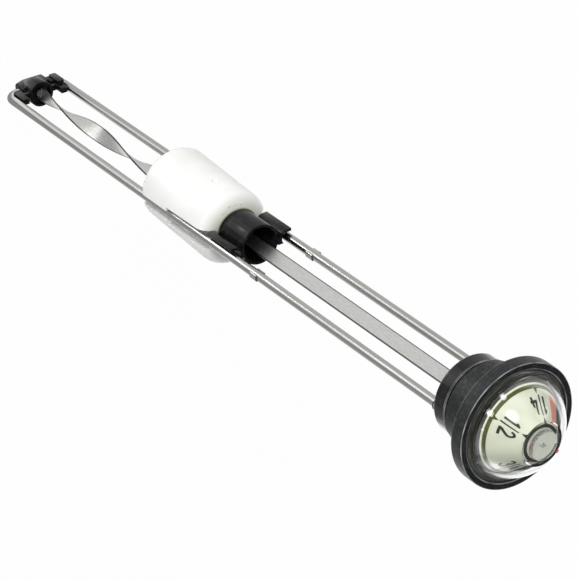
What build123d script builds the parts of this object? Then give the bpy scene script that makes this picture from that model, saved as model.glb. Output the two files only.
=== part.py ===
from build123d import *
from math import atan2, cos, radians, sin, tan
import os

# Fuel gauge that plugs into a hole in the top of a tank.
# Millimetres. The origin is the centre of the flange's seat, +Z points out through the lens,
# and the guide wire lies in the XZ plane. Depths are measured down from the seat.

# rubber grommet
neck_dia = 27.9
neck_length = 11.4
flange_dia = 41.2
flange_height = 4.8
flange_edge_round = 0.5
flange_wall = 1.1
lip_grip = 1.05
lip_round = 0.4

# head body
barrel_dia = 25.8
barrel_wall = 1.5
collar_gap = 1.0
collar_length = 6.1
collar_dia = 26.6
rib_dia = 27.2
rib_width = 0.8
collar_round = 1.2
disc_bottom = 1.0
disc_thickness = 1.9
web_top = 5.5
web_bottom = 10.0
strip_hole_dia = 6.8
wire_boss_dia = 4.4
wire_boss_height = 0.5

# lens
lens_rim_thickness = 1.2
lip_gap = 1.0
lens_ring_z = 5.8
lens_mid_in = 3.8
lens_mid_z = 11.9
lens_wall = 1.0
bead_step = 1.05
bead_height = 0.4
bead_round = 0.3
ledge_width = 0.4
ledge_round = 0.3
shoulder_dia = 14.4
shoulder_z = 16.3
nub_dia = 9.36
nub_z = 17.57
nub_edge_chamfer = 0.35
nub_draft = 0.15

# dial
dial_side_gap = 1.0
dial_rim_drop = 0.2
dial_top_dia = 12.0
dial_top_gap = 0.4
dial_wall = 0.8
hub_dia = 6.4
hub_cap = 0.9
print_depth = 0.08
dial_turn = 4.0
empty_angle = 11.4
full_angle = 332.0
quarter_angles = (66.6, 136.7, 224.5, 304.0)
reserve_from = 15.5
reserve_to = 39.0
band_margin = 0.4
band_width = 0.75
track_outer_r = 6.1
track_inner_r = 5.0
tick_length = 1.1
tick_half_width = 0.6
tick_root = 0.1
end_line_width = 0.9
reserve_gap = 0.5

# red index line on the lens
index_angle = -40.5
index_width = 0.9
index_thickness = 0.1
index_inner_r = 7.4
index_outer_r = 16.3

# spindle and its bush
arbor_dia = 3.2
arbor_head_dia = 6.0
arbor_head_length = 4.8
tip_dia = 1.3
tip_drop = 0.2
tip_end_gap = 0.3
bush_dia = 5.2
bush_flange_dia = 7.0
bush_flange_thickness = 0.6
bush_clearance = 0.05
thrust_clearance = 0.1
washer_thickness = 0.5

# guide wire
wire_dia = 3.2
wire_spacing = 21.8
wire_bend_r = 4.5
wire_drop = 278.4
wire_socket_depth = 7.0
wire_end_chamfer = 0.3
stop_drop = 114.7
stop_height = 3.4
stop_width = 3.9
stop_thickness = 2.4
stop_round = 0.7

# twisted strip
strip_width = 5.5
strip_thickness = 0.5
strip_angle = 15.0
strip_turn = 95.0
twist_start = 145.9
strip_rise = 4.8
strip_hold = 4.4

# float and its carrier
float_dia = 26.6
float_length = 39.8
float_front = 143.0
float_front_round = 5.0
float_rear_round = 3.0
float_lift = -0.5
float_lean = 4.0
groove_side_gap = 1.7
groove_bottom_gap = 0.6
land_side_gap = 0.4
land_bottom_gap = 0.3
land_start = 166.0
gate_drop = 155.0
gate_dia = 2.2
gate_depth = 0.5
tube_dia = 14.2
tube_lift = 0.9
tube_wall = 0.9
tube_mouth = 129.3
tube_end = 169.0
tail_bore_dia = 8.4
slot_top = 146.6
slot_land = 1.5
slot_width = 1.1
slot_side_clearance = 0.3
shoe_top = 128.5
shoe_bottom = 142.8
shoe_gap = 0.6
shoe_wall = 1.0
shoe_shift = 0.6
shoe_lift = 0.3
shoe_leg = 1.5
shoe_low = 1.5
shoe_web_drop = 0.6
shoe_web_height = 1.8

# bottom bearing and the strip's foot
cup_dia = 9.6
cup_bore_dia = 8.0
cup_depth = 2.4
cup_base = 1.0
pivot_dia = 1.6
pivot_length = 1.9
pivot_clearance = 0.05
foot_head_dia = 3.0
foot_head_length = 1.5
foot_slot_depth = 0.8
foot_slot_clearance = 0.05
foot_end_gap = 0.3
bearing_below = 2.6
bearing_height = 3.3
bearing_round = 0.9
saddle_near_height = 2.4
saddle_slope = 3.2
saddle_rise = 3.0
saddle_near = 5.9
saddle_far = 5.5
bridge_height = 2.3
clip_inset = 0.9
clip_width = 2.9
clip_height = 2.9
clip_rise = 6.0
clip_below = 1.2
clip_wrap = 0.4
prong_inset = 1.8
prong_width = 2.4
prong_rise = 9.2
prong_high = 1.5
prong_low = 0.6
web_rise = 5.4
grip_opening = 2.9

# values shared by mating pieces
neck_r = neck_dia / 2
flange_r = flange_dia / 2
disc_r = flange_r - flange_wall
lip_r = disc_r - lip_grip
barrel_r = barrel_dia / 2
disc_top = disc_bottom + disc_thickness
rim_top = disc_top + lens_rim_thickness
bead_r = lip_r - lip_gap
lens_ring_r = bead_r - bead_step
lens_mid_r = lens_ring_r - lens_mid_in
bead_top = rim_top + bead_height
ledge_r = lens_ring_r + ledge_width
collar_top = neck_length + collar_gap
collar_bottom = collar_top + collar_length
bore_r = strip_hole_dia / 2
bush_top = web_top - bush_flange_thickness
hub_bottom = bush_top - thrust_clearance - washer_thickness
lens_inner_z = shoulder_z - lens_wall
arbor_r = arbor_dia / 2
arbor_shoulder = web_bottom + thrust_clearance
arbor_bottom = arbor_shoulder + arbor_head_length
wire_x = wire_spacing / 2
wire_r = wire_dia / 2
web_end = wire_drop - wire_r / 2
strip_end = wire_drop - strip_rise
foot_head_top = strip_end - foot_slot_depth
foot_head_bottom = foot_head_top + foot_head_length
pivot_end = foot_head_bottom + pivot_length
pivot_hole_end = pivot_end + foot_end_gap
cup_floor = foot_head_bottom + foot_end_gap
cup_mouth = cup_floor - cup_depth
cup_end = pivot_hole_end + cup_base
bearing_back = wire_drop + bearing_below
saddle_top = wire_drop - saddle_rise
clip_top = wire_drop - clip_rise
clip_bottom = wire_drop + clip_below
prong_top = wire_drop - prong_rise
web_drop = wire_drop - web_rise
dial_r = lens_ring_r - lens_wall - dial_side_gap
dial_rim_z = lens_ring_z - dial_rim_drop
dial_top_r = dial_top_dia / 2
dial_top_z = lens_inner_z - dial_top_gap
arbor_top_z = dial_top_z - hub_cap
tip_top_z = shoulder_z - tip_drop
tip_hole_end = tip_top_z + tip_end_gap
band_outer_r = dial_r - band_margin
band_inner_r = band_outer_r - band_width
cone_angle = atan2(dial_top_z - dial_rim_z, dial_r - dial_top_r)
tube_r = tube_dia / 2
dome_lean = radians(45)
tip_r = tip_dia / 2
clip_to = wire_x - clip_inset
clip_from = clip_to - clip_width
prong_outer = wire_x - prong_inset
prong_inner = prong_outer - prong_width
cut_over = 1.0
sky = 30.0


# rubber grommet: neck, flange and the groove that grips the disc and the lens rim
with BuildPart() as grommet:
    with BuildSketch(Plane.XZ):
        with BuildLine():
            Polyline(
                (flange_r, flange_height - flange_edge_round),
                (flange_r, 0),
                (neck_r, 0),
                (neck_r, -neck_length),
                (barrel_r, -neck_length),
                (barrel_r, disc_bottom),
                (disc_r, disc_bottom),
                (disc_r, rim_top),
                (lip_r, rim_top),
                (lip_r, flange_height - lip_round),
            )
            CenterArc(
                (flange_r - flange_edge_round, flange_height - flange_edge_round),
                flange_edge_round, 0, 90,
            )
            Line((flange_r - flange_edge_round, flange_height), (lip_r + lip_round, flange_height))
            CenterArc((lip_r + lip_round, flange_height - lip_round), lip_round, 90, 90)
        make_face()
    revolve(axis=Axis.Z)
grommet.part.label = "grommet"

# head body: barrel, rear collar with the wire sockets, and the disc that carries the lens
with BuildPart() as head_body:
    with BuildSketch(Plane.XZ):
        with BuildLine():
            Polyline(
                (collar_dia / 2, -(collar_bottom - collar_round)),
                (collar_dia / 2, -(collar_top + rib_width)),
                (rib_dia / 2, -(collar_top + rib_width / 2)),
                (rib_dia / 2, -collar_top),
                (barrel_r, -collar_top),
                (barrel_r, disc_bottom),
                (disc_r, disc_bottom),
                (disc_r, disc_top),
                (barrel_r - barrel_wall, disc_top),
                (barrel_r - barrel_wall, -web_top),
                (bush_dia / 2, -web_top),
                (bush_dia / 2, -web_bottom),
                (bore_r, -web_bottom),
                (bore_r, -collar_bottom),
                (collar_dia / 2 - collar_round, -collar_bottom),
            )
            CenterArc(
                (collar_dia / 2 - collar_round, -(collar_bottom - collar_round)),
                collar_round, 270, 90,
            )
        make_face()
    revolve(axis=Axis.Z)
    with BuildSketch(Plane.XY.offset(-collar_bottom - wire_boss_height)):
        with Locations((-wire_x, 0), (wire_x, 0)):
            Circle(wire_boss_dia / 2)
    extrude(amount=wire_boss_height + collar_round)
    with BuildSketch(Plane.XY.offset(-collar_bottom - wire_boss_height)):
        with Locations((-wire_x, 0), (wire_x, 0)):
            Circle(wire_r)
    extrude(amount=collar_bottom + wire_boss_height - wire_socket_depth, mode=Mode.SUBTRACT)
head_body.part.label = "head_body"

# clear lens: flat rim with a bead, a ledge, the dome, and a nub that carries the spindle's tip
with BuildPart() as lens:
    with BuildSketch(Plane.XZ):
        with BuildLine():
            ring_edge = (lens_ring_r, lens_ring_z)
            dome_end = (shoulder_dia / 2, shoulder_z)
            inner_edge = (lens_ring_r - lens_wall, lens_ring_z - lens_wall / 4)
            inner_mid = (lens_mid_r - lens_wall * sin(dome_lean), lens_mid_z - lens_wall * cos(dome_lean))
            inner_end = (shoulder_dia / 2 - lens_wall / 2, lens_inner_z)
            ThreePointArc(ring_edge, (lens_mid_r, lens_mid_z), dome_end)
            Polyline(
                dome_end,
                (nub_dia / 2 + nub_draft, shoulder_z),
                (nub_dia / 2, nub_z - nub_edge_chamfer),
                (nub_dia / 2 - nub_edge_chamfer, nub_z),
                (0, nub_z),
                (0, tip_hole_end),
                (tip_r + bush_clearance, tip_hole_end),
                (tip_r + bush_clearance, lens_inner_z),
                inner_end,
            )
            ThreePointArc(inner_end, inner_mid, inner_edge)
            Polyline(
                inner_edge,
                (inner_edge[0], disc_top),
                (disc_r, disc_top),
                (disc_r, rim_top),
                (bead_r, rim_top),
                (bead_r, bead_top - bead_round),
            )
            CenterArc((bead_r - bead_round, bead_top - bead_round), bead_round, 0, 90)
            Polyline(
                (bead_r - bead_round, bead_top),
                (ledge_r, bead_top),
                (ledge_r, lens_ring_z - ledge_round),
            )
            CenterArc((ledge_r - ledge_round, lens_ring_z - ledge_round), ledge_round, 0, 90)
            Line((ledge_r - ledge_round, lens_ring_z), ring_edge)
        make_face()
    revolve(axis=Axis.Z)
lens.part.label = "lens"

# red index line painted on the outside of the lens
with BuildPart() as index_line:
    with BuildSketch(Plane.XZ):
        with BuildLine():
            ThreePointArc(ring_edge, (lens_mid_r, lens_mid_z), dome_end)
            Line(dome_end, (dome_end[0], dome_end[1] + index_thickness))
            ThreePointArc(
                (dome_end[0], dome_end[1] + index_thickness),
                (
                    lens_mid_r + index_thickness * sin(dome_lean),
                    lens_mid_z + index_thickness * cos(dome_lean),
                ),
                (ring_edge[0] + index_thickness, ring_edge[1]),
            )
            Line((ring_edge[0] + index_thickness, ring_edge[1]), ring_edge)
        make_face()
    revolve(axis=Axis.Z)
    with BuildSketch(Plane.XY):
        with Locations(Location((0, 0, 0), (0, 0, index_angle))):
            with Locations(((index_inner_r + index_outer_r) / 2, 0)):
                Rectangle(index_outer_r - index_inner_r, index_width)
    extrude(amount=sky, mode=Mode.INTERSECT)
index_line.part.label = "index_line"

# pale cone dial with the hub that presses onto the spindle
with BuildPart() as dial:
    with BuildSketch(Plane.XZ):
        with BuildLine():
            wall_run = dial_wall / sin(cone_angle)
            wall_step = dial_wall * tan(cone_angle / 2)
            Polyline(
                (dial_r, dial_rim_z),
                (dial_top_r, dial_top_z),
                (tip_r, dial_top_z),
                (tip_r, arbor_top_z),
                (arbor_r, arbor_top_z),
                (arbor_r, -hub_bottom),
                (hub_dia / 2, -hub_bottom),
                (hub_dia / 2, dial_top_z - dial_wall),
                (dial_top_r - wall_step, dial_top_z - dial_wall),
                (dial_r - wall_run, dial_rim_z),
                close=True,
            )
        make_face()
    revolve(axis=Axis.Z)
dial.part.label = "dial"

# the prints are thin skins of the cone, cut out from above
with BuildPart() as print_skin:
    with BuildSketch(Plane.XZ):
        with BuildLine():
            Polyline(
                (dial_r, dial_rim_z),
                (dial_top_r, dial_top_z),
                (0, dial_top_z),
                (0, dial_top_z + print_depth),
                (dial_top_r + print_depth * tan(cone_angle / 2), dial_top_z + print_depth),
                (dial_r + print_depth * sin(cone_angle), dial_rim_z + print_depth * cos(cone_angle)),
                close=True,
            )
        make_face()
    revolve(axis=Axis.Z)
skin = print_skin.part
blank_from = radians(full_angle + dial_turn)
blank_to = radians(empty_angle + 360 + dial_turn)

# outer band with inward ticks at the quarters
with BuildPart() as dial_band:
    add(skin)
    with BuildSketch(Plane.XY):
        Circle(band_outer_r)
        Circle(band_inner_r, mode=Mode.SUBTRACT)
        Polygon(
            (0, 0),
            (sky * cos(blank_from), sky * sin(blank_from)),
            (sky * cos(blank_to), sky * sin(blank_to)),
            align=None, mode=Mode.SUBTRACT,
        )
        for angle in quarter_angles:
            with Locations(Location((0, 0, 0), (0, 0, angle + dial_turn))):
                Polygon(
                    (band_inner_r + tick_root, tick_half_width),
                    (band_inner_r - tick_length, 0),
                    (band_inner_r + tick_root, -tick_half_width),
                    align=None,
                )
    extrude(amount=sky, mode=Mode.INTERSECT)
dial_band.part.label = "dial_band"

# inner track with outward ticks, and the two end lines
with BuildPart() as dial_track:
    add(skin)
    with BuildSketch(Plane.XY):
        Circle(track_outer_r)
        Circle(track_inner_r, mode=Mode.SUBTRACT)
        Polygon(
            (0, 0),
            (sky * cos(blank_from), sky * sin(blank_from)),
            (sky * cos(blank_to), sky * sin(blank_to)),
            align=None, mode=Mode.SUBTRACT,
        )
        for angle in quarter_angles:
            with Locations(Location((0, 0, 0), (0, 0, angle + dial_turn))):
                Polygon(
                    (track_outer_r - tick_root, tick_half_width),
                    (track_outer_r - tick_root, -tick_half_width),
                    (track_outer_r + tick_length, 0),
                    align=None,
                )
        for angle in (empty_angle, full_angle):
            with Locations(Location((0, 0, 0), (0, 0, angle + dial_turn))):
                with Locations(((track_inner_r + band_inner_r) / 2, 0)):
                    Rectangle(band_inner_r - track_inner_r, end_line_width)
    extrude(amount=sky, mode=Mode.INTERSECT)
dial_track.part.label = "dial_track"

# red low-fuel field between the empty line and its far edge
low_edge = radians(reserve_from + dial_turn)
high_edge = radians(reserve_to + dial_turn)
with BuildPart() as reserve_wedge:
    add(skin)
    with BuildSketch(Plane.XY):
        Circle(band_inner_r - reserve_gap)
        Circle(track_outer_r + reserve_gap, mode=Mode.SUBTRACT)
        Polygon(
            (0, 0),
            (sky * cos(low_edge), sky * sin(low_edge)),
            (sky * cos(high_edge), sky * sin(high_edge)),
            align=None, mode=Mode.INTERSECT,
        )
    extrude(amount=sky, mode=Mode.INTERSECT)
reserve_wedge.part.label = "reserve_wedge"

# spindle: shaft through the bush, slotted head below it
with BuildPart() as dial_arbor:
    with BuildSketch(Plane.XY.offset(-arbor_bottom)):
        Circle(arbor_head_dia / 2)
    extrude(amount=arbor_head_length)
    with BuildSketch(Plane.XY.offset(-arbor_shoulder)):
        Circle(arbor_r)
    extrude(amount=arbor_shoulder + arbor_top_z)
    with BuildSketch(Plane.XY.offset(arbor_top_z)):
        Circle(tip_r)
    extrude(amount=tip_top_z - arbor_top_z)
    with BuildSketch(Plane.XY.offset(-arbor_bottom)):
        Rectangle(arbor_head_dia + cut_over, strip_thickness, rotation=strip_angle)
    extrude(amount=strip_hold, mode=Mode.SUBTRACT)
dial_arbor.part.label = "dial_arbor"

# flanged bush pressed into the web
with BuildPart() as arbor_bush:
    with BuildSketch(Plane.XY.offset(-web_bottom)):
        Circle(bush_dia / 2)
    extrude(amount=web_bottom - web_top)
    with BuildSketch(Plane.XY.offset(-web_top)):
        Circle(bush_flange_dia / 2)
    extrude(amount=bush_flange_thickness)
    with BuildSketch(Plane.XY.offset(-web_bottom)):
        Circle(arbor_r + bush_clearance)
    extrude(amount=web_bottom - bush_top, mode=Mode.SUBTRACT)
arbor_bush.part.label = "arbor_bush"

# washer that carries the dial's weight on the bush
with BuildPart() as thrust_washer:
    with BuildSketch(Plane.XY.offset(-hub_bottom)):
        Circle(hub_dia / 2)
        Circle(arbor_r, mode=Mode.SUBTRACT)
    extrude(amount=-washer_thickness)
thrust_washer.part.label = "thrust_washer"

# one wire bent to a U, with a staked stop on each leg
with BuildPart() as guide_wire:
    with BuildLine(Plane.XZ) as wire_path:
        FilletPolyline(
            (-wire_x, -wire_socket_depth),
            (-wire_x, -wire_drop),
            (wire_x, -wire_drop),
            (wire_x, -wire_socket_depth),
            radius=wire_bend_r,
        )
    with BuildSketch(Plane.XY.offset(-wire_socket_depth)):
        with Locations((-wire_x, 0)):
            Circle(wire_r)
    sweep()
    ends = guide_wire.faces().filter_by(Axis.Z).group_by(Axis.Z)[-1]
    chamfer(ends.edges(), wire_end_chamfer)
    for side in (-1, 1):
        with BuildSketch(Plane.XY.offset(-stop_drop - stop_height / 2)):
            with Locations((side * wire_x, 0)):
                RectangleRounded(stop_width, stop_thickness, stop_round)
        extrude(amount=stop_height)
guide_wire.part.label = "guide_wire"

# strip: flat from the spindle to the float's rest place, then twisted down to its foot
twist_length = strip_end - twist_start
with BuildSketch(Plane.XY.offset(-twist_start)) as strip_section:
    Rectangle(strip_width, strip_thickness, rotation=strip_angle)
twisted_run = Solid.extrude_linear_with_rotation(
    strip_section.sketch.faces()[0],
    center=(0, 0, -twist_start),
    normal=(0, 0, -twist_length),
    angle=360 * twist_length / strip_turn,
)
with BuildPart() as twisted_strip:
    with BuildSketch(Plane.XY.offset(-twist_start)):
        Rectangle(strip_width, strip_thickness, rotation=strip_angle)
    extrude(amount=twist_start - arbor_bottom + strip_hold)
    add(twisted_run)
twisted_strip.part.label = "twisted_strip"

# pivot on the strip's lower end
foot_mid = (foot_head_top + strip_end) / 2
foot_angle = strip_angle - 360 * (foot_mid - twist_start) / strip_turn
with BuildPart() as foot_pin:
    with BuildSketch(Plane.XY.offset(-foot_head_top)):
        Circle(foot_head_dia / 2)
    extrude(amount=-(foot_head_bottom - foot_head_top))
    with BuildSketch(Plane.XY.offset(-foot_head_bottom)):
        Circle(pivot_dia / 2)
    extrude(amount=-(pivot_end - foot_head_bottom))
    with BuildSketch(Plane.XY.offset(-foot_head_top)):
        Rectangle(foot_head_dia + cut_over, strip_thickness + foot_slot_clearance, rotation=foot_angle)
    extrude(amount=-(strip_end - foot_head_top), mode=Mode.SUBTRACT)
foot_pin.part.label = "foot_pin"

# float shell, a little cocked on its wires, with true grooves and bore
lean = radians(float_lean)
groove_half_height = wire_r + groove_side_gap
groove_bottom = wire_x - wire_r - groove_bottom_gap
land_half_height = wire_r + land_side_gap
land_bottom = wire_x - wire_r - land_bottom_gap
float_plane = Plane(origin=(0, float_lift, -float_front), x_dir=(1, 0, 0), z_dir=(0, -sin(lean), cos(lean)))
with BuildPart() as float_shell:
    with BuildSketch(float_plane):
        Circle(float_dia / 2)
    extrude(amount=-float_length)
    rims = float_shell.edges().filter_by(GeomType.CIRCLE).sort_by(Axis.Z)
    fillet(rims[-1], float_front_round)
    fillet(float_shell.edges().filter_by(GeomType.CIRCLE).sort_by(Axis.Z)[0], float_rear_round)
    with BuildSketch(Plane.XY.offset(-(float_front - float_rear_round))):
        with Locations((0, tube_lift)):
            Circle(tube_r)
    extrude(amount=-(tube_end - float_front + float_rear_round), mode=Mode.SUBTRACT)
    with BuildSketch(Plane.XY.offset(-tube_end)):
        Circle(tail_bore_dia / 2)
    extrude(amount=-float_length, mode=Mode.SUBTRACT)
    for side in (-1, 1):
        with BuildSketch(Plane.XY.offset(-(float_front - float_rear_round))):
            with Locations((side * (groove_bottom + float_dia / 2), 0)):
                Rectangle(float_dia, 2 * groove_half_height)
        extrude(amount=-(land_start - float_front + float_rear_round), mode=Mode.SUBTRACT)
        with BuildSketch(Plane.XY.offset(-land_start)):
            with Locations((side * (land_bottom + float_dia / 2), 0)):
                Rectangle(float_dia, 2 * land_half_height)
        extrude(amount=-float_length, mode=Mode.SUBTRACT)
    with BuildSketch(Plane.XZ.offset(-float_dia)):
        with Locations((0, -gate_drop)):
            Circle(gate_dia / 2)
    gate_y = float_lift + (gate_drop - float_front) * tan(lean) + float_dia / 2 / cos(lean)
    extrude(amount=float_dia - gate_y + gate_depth, mode=Mode.SUBTRACT)
float_shell.part.label = "float"

# carrier: tube with the slot that turns the strip, and two shoes that run on the wire
shoe_x = wire_x - shoe_shift
shoe_inner_r = wire_r + shoe_gap
shoe_outer_r = shoe_inner_r + shoe_wall
slot_mid = slot_top + slot_land / 2
slot_angle = strip_angle - 360 * (slot_mid - twist_start) / strip_turn
with BuildPart() as float_carrier:
    with BuildSketch(Plane.XY.offset(-tube_mouth)):
        with Locations((0, tube_lift)):
            Circle(tube_r)
            Circle(tube_r - tube_wall, mode=Mode.SUBTRACT)
    extrude(amount=-(tube_end - tube_mouth))
    with BuildSketch(Plane.XY.offset(-slot_top)):
        with Locations((0, tube_lift)):
            Circle(tube_r - tube_wall / 2)
        Rectangle(
            strip_width + 2 * slot_side_clearance, slot_width, rotation=slot_angle, mode=Mode.SUBTRACT
        )
    extrude(amount=-slot_land)
    for side in (-1, 1):
        with BuildSketch(Plane.XY.offset(-shoe_top)):
            with Locations((side * shoe_x, shoe_lift)):
                Circle(shoe_outer_r)
            with Locations((side * (shoe_x + shoe_leg / 2), shoe_lift)):
                Rectangle(shoe_leg, 2 * shoe_outer_r)
            with Locations((side * (shoe_x + shoe_leg + shoe_outer_r), shoe_lift)):
                Rectangle(2 * shoe_outer_r, 2 * shoe_outer_r, mode=Mode.SUBTRACT)
            with Locations((side * shoe_x, shoe_lift)):
                Circle(shoe_inner_r, mode=Mode.SUBTRACT)
            with Locations((side * (shoe_x + shoe_leg), shoe_lift)):
                Rectangle(2 * shoe_leg, 2 * shoe_inner_r, mode=Mode.SUBTRACT)
            with Locations((side * shoe_x, shoe_lift - shoe_low - shoe_outer_r)):
                Rectangle(4 * shoe_outer_r, 2 * shoe_outer_r, mode=Mode.SUBTRACT)
            with Locations((side * (tube_r + shoe_x - shoe_outer_r) / 2, shoe_lift - shoe_web_drop)):
                Rectangle(shoe_x - shoe_inner_r - tube_r, shoe_web_height)
        extrude(amount=-(shoe_bottom - shoe_top))
float_carrier.part.label = "float_carrier"

# bottom bearing: cup for the strip's foot, saddle over the wire's cross run, a clip over the
# far corner and a prong inside each leg; the wire snaps in from below
with BuildPart() as bottom_bearing:
    with BuildSketch(Plane.XY.offset(-cup_mouth)):
        Circle(cup_dia / 2)
    extrude(amount=-(cup_end - cup_mouth))
    with BuildSketch(Plane.XY.offset(-saddle_top)):
        Polygon(
            (-saddle_near, saddle_near_height),
            (-saddle_near + saddle_slope, bearing_height),
            (saddle_far, bearing_height),
            (saddle_far, -bearing_height),
            (-saddle_near + saddle_slope, -bearing_height),
            (-saddle_near, -saddle_near_height),
            align=None,
        )
    extrude(amount=-(bearing_back - saddle_top))
    saddle_ends = bottom_bearing.edges().filter_by(Axis.Z).group_by(Axis.X)
    fillet(saddle_ends[0] + saddle_ends[-1], bearing_round)
    with BuildSketch(Plane.XZ.offset(-clip_height)):
        with Locations(((clip_from + clip_to) / 2, -(clip_top + clip_bottom) / 2)):
            RectangleRounded(clip_to - clip_from, clip_bottom - clip_top, bearing_round)
    extrude(amount=clip_height + clip_wrap)
    with BuildSketch(Plane.XZ.offset(-bridge_height)):
        with Locations(((saddle_far + clip_from) / 2, -(saddle_top + clip_bottom) / 2)):
            Rectangle(clip_from - saddle_far + 2 * bearing_round, clip_bottom - saddle_top)
    extrude(amount=bridge_height)
    with BuildSketch(Plane.XZ.offset(-prong_high)):
        for side in (-1, 1):
            with Locations((side * (prong_inner + prong_outer) / 2, -(prong_top + web_end) / 2)):
                Rectangle(prong_outer - prong_inner, web_end - prong_top)
        with Locations((0, -(web_drop + web_end) / 2)):
            Rectangle(2 * prong_outer, web_end - web_drop)
    extrude(amount=prong_high + prong_low)
    with BuildSketch(Plane.XY.offset(-cup_mouth)):
        Circle(cup_bore_dia / 2)
    extrude(amount=-(cup_floor - cup_mouth), mode=Mode.SUBTRACT)
    with BuildSketch(Plane.XY.offset(-cup_floor)):
        Circle(pivot_dia / 2 + pivot_clearance)
    extrude(amount=-(pivot_hole_end - cup_floor), mode=Mode.SUBTRACT)
    with BuildLine(Plane.XZ):
        FilletPolyline(
            (-wire_x, -stop_drop),
            (-wire_x, -wire_drop),
            (wire_x, -wire_drop),
            (wire_x, -stop_drop),
            radius=wire_bend_r,
        )
    with BuildSketch(Plane.XY.offset(-stop_drop)):
        with Locations((-wire_x, 0)):
            Circle(wire_r)
    sweep(mode=Mode.SUBTRACT)
    with BuildSketch(Plane.XZ):
        with Locations(((clip_from - prong_outer - cut_over) / 2, -wire_drop)):
            Rectangle(clip_from + prong_outer + cut_over, grip_opening)
    extrude(amount=cup_dia, mode=Mode.SUBTRACT)
bottom_bearing.part.label = "bottom_bearing"

pieces = (
    grommet, head_body, lens, index_line, dial, dial_band, dial_track, reserve_wedge, dial_arbor,
    arbor_bush, thrust_washer, guide_wire, twisted_strip, foot_pin, float_shell, float_carrier,
    bottom_bearing,
)
os.makedirs("parts", exist_ok=True)
for piece in pieces:
    export_step(piece.part, f"parts/{piece.part.label}.step")
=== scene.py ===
import math

import bpy
from mathutils import Matrix, Vector


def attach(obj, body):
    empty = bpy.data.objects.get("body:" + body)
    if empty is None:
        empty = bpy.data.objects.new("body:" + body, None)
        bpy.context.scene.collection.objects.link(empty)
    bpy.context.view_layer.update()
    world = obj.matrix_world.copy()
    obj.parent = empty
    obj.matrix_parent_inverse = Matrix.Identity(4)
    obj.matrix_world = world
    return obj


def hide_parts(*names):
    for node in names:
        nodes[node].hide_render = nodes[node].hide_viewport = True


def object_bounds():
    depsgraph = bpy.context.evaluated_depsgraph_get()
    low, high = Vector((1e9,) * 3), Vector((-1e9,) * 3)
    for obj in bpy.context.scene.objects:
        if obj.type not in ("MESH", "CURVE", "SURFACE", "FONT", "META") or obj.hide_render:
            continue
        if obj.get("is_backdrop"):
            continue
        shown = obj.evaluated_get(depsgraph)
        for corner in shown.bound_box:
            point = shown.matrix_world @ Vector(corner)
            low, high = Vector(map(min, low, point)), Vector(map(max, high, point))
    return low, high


# Plug-in fuel gauge: a clear domed head on a rubber grommet, and a float on a bent wire below it.
# The frame brings the solids; this file gives them their finish and adds the small moulded detail.

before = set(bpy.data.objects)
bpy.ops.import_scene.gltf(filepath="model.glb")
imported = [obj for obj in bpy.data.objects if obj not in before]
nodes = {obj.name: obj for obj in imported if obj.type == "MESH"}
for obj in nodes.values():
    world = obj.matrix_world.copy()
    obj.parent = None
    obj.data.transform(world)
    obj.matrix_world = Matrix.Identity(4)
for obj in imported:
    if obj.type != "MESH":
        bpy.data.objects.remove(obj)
cadLow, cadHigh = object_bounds()
mm = 0.001


def deselectAll():
    bpy.ops.object.select_all(action="DESELECT")


def onlyThis(piece):
    deselectAll()
    piece.select_set(True)
    bpy.context.view_layer.objects.active = piece


def joinAs(pieces, name):
    onlyThis(pieces[0])
    for piece in pieces:
        piece.select_set(True)
    bpy.ops.object.join()
    joined = bpy.context.object
    joined.name = name
    joined.data.name = name
    return joined


def linear(hexColour):
    channels = [int(hexColour[i:i + 2], 16) / 255 for i in (1, 3, 5)]
    return tuple(c / 12.92 if c <= 0.04045 else ((c + 0.055) / 1.055) ** 2.4 for c in channels) + (1.0,)


def addNode(owner, kind, values=None, links=None, stops=(), **settings):
    # the owner is a material or the world; stops are the positions and colours of a colour ramp
    node = owner.node_tree.nodes.new(kind)
    for name, value in settings.items():
        setattr(node, name, value)
    for name, value in (values or {}).items():
        node.inputs[name].default_value = value
    for name, source in (links or {}).items():
        owner.node_tree.links.new(source, node.inputs[name])
    for i, (position, hexColour) in enumerate(stops):
        node.color_ramp.elements[i].position = position
        node.color_ramp.elements[i].color = linear(hexColour)
    return node


def link(owner, source, target):
    owner.node_tree.links.new(source, target)


def newMaterial(name, **values):
    material = bpy.data.materials.new(name)
    material.use_nodes = True
    shader = material.node_tree.nodes["Principled BSDF"]
    for key, value in values.items():
        shader.inputs[key.replace("_", " ")].default_value = value
    return material, shader


def useAsSurface(material, node):
    link(material, node.outputs[0], material.node_tree.nodes["Material Output"].inputs["Surface"])


def finish(piece, material, slot=None):
    if not piece.material_slots:
        piece.data.materials.append(material)
    for materialSlot in piece.material_slots:
        materialSlot.material = material


# Camera, at the photograph's angle
camera = {
    "place": (-417.0 * mm, 435.3 * mm, 522.7 * mm),
    "right": (0.8251, -0.0325, 0.5640),
    "up": (0.3078, 0.8630, -0.4005),
    "focalPixels": 2724.8,
    "picturePixels": 579,  # each way
    "sensor": 36.0,
    "clip": (0.01, 20.0),
}


def makeCamera():
    right = Vector(camera["right"]).normalized()
    back = right.cross(Vector(camera["up"])).normalized()
    up = back.cross(right)
    bpy.ops.object.camera_add()
    view = bpy.context.object
    view.name = "camera"
    turn = Matrix((right, up, back)).transposed()
    view.matrix_world = Matrix.Translation(Vector(camera["place"])) @ turn.to_4x4()
    view.data.sensor_width = camera["sensor"]
    view.data.lens = camera["focalPixels"] / camera["picturePixels"] * camera["sensor"]
    view.data.clip_start, view.data.clip_end = camera["clip"]
    bpy.context.scene.camera = view


deselectAll()  # loading leaves the frame's pieces selected
makeCamera()
print("camera set")


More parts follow.
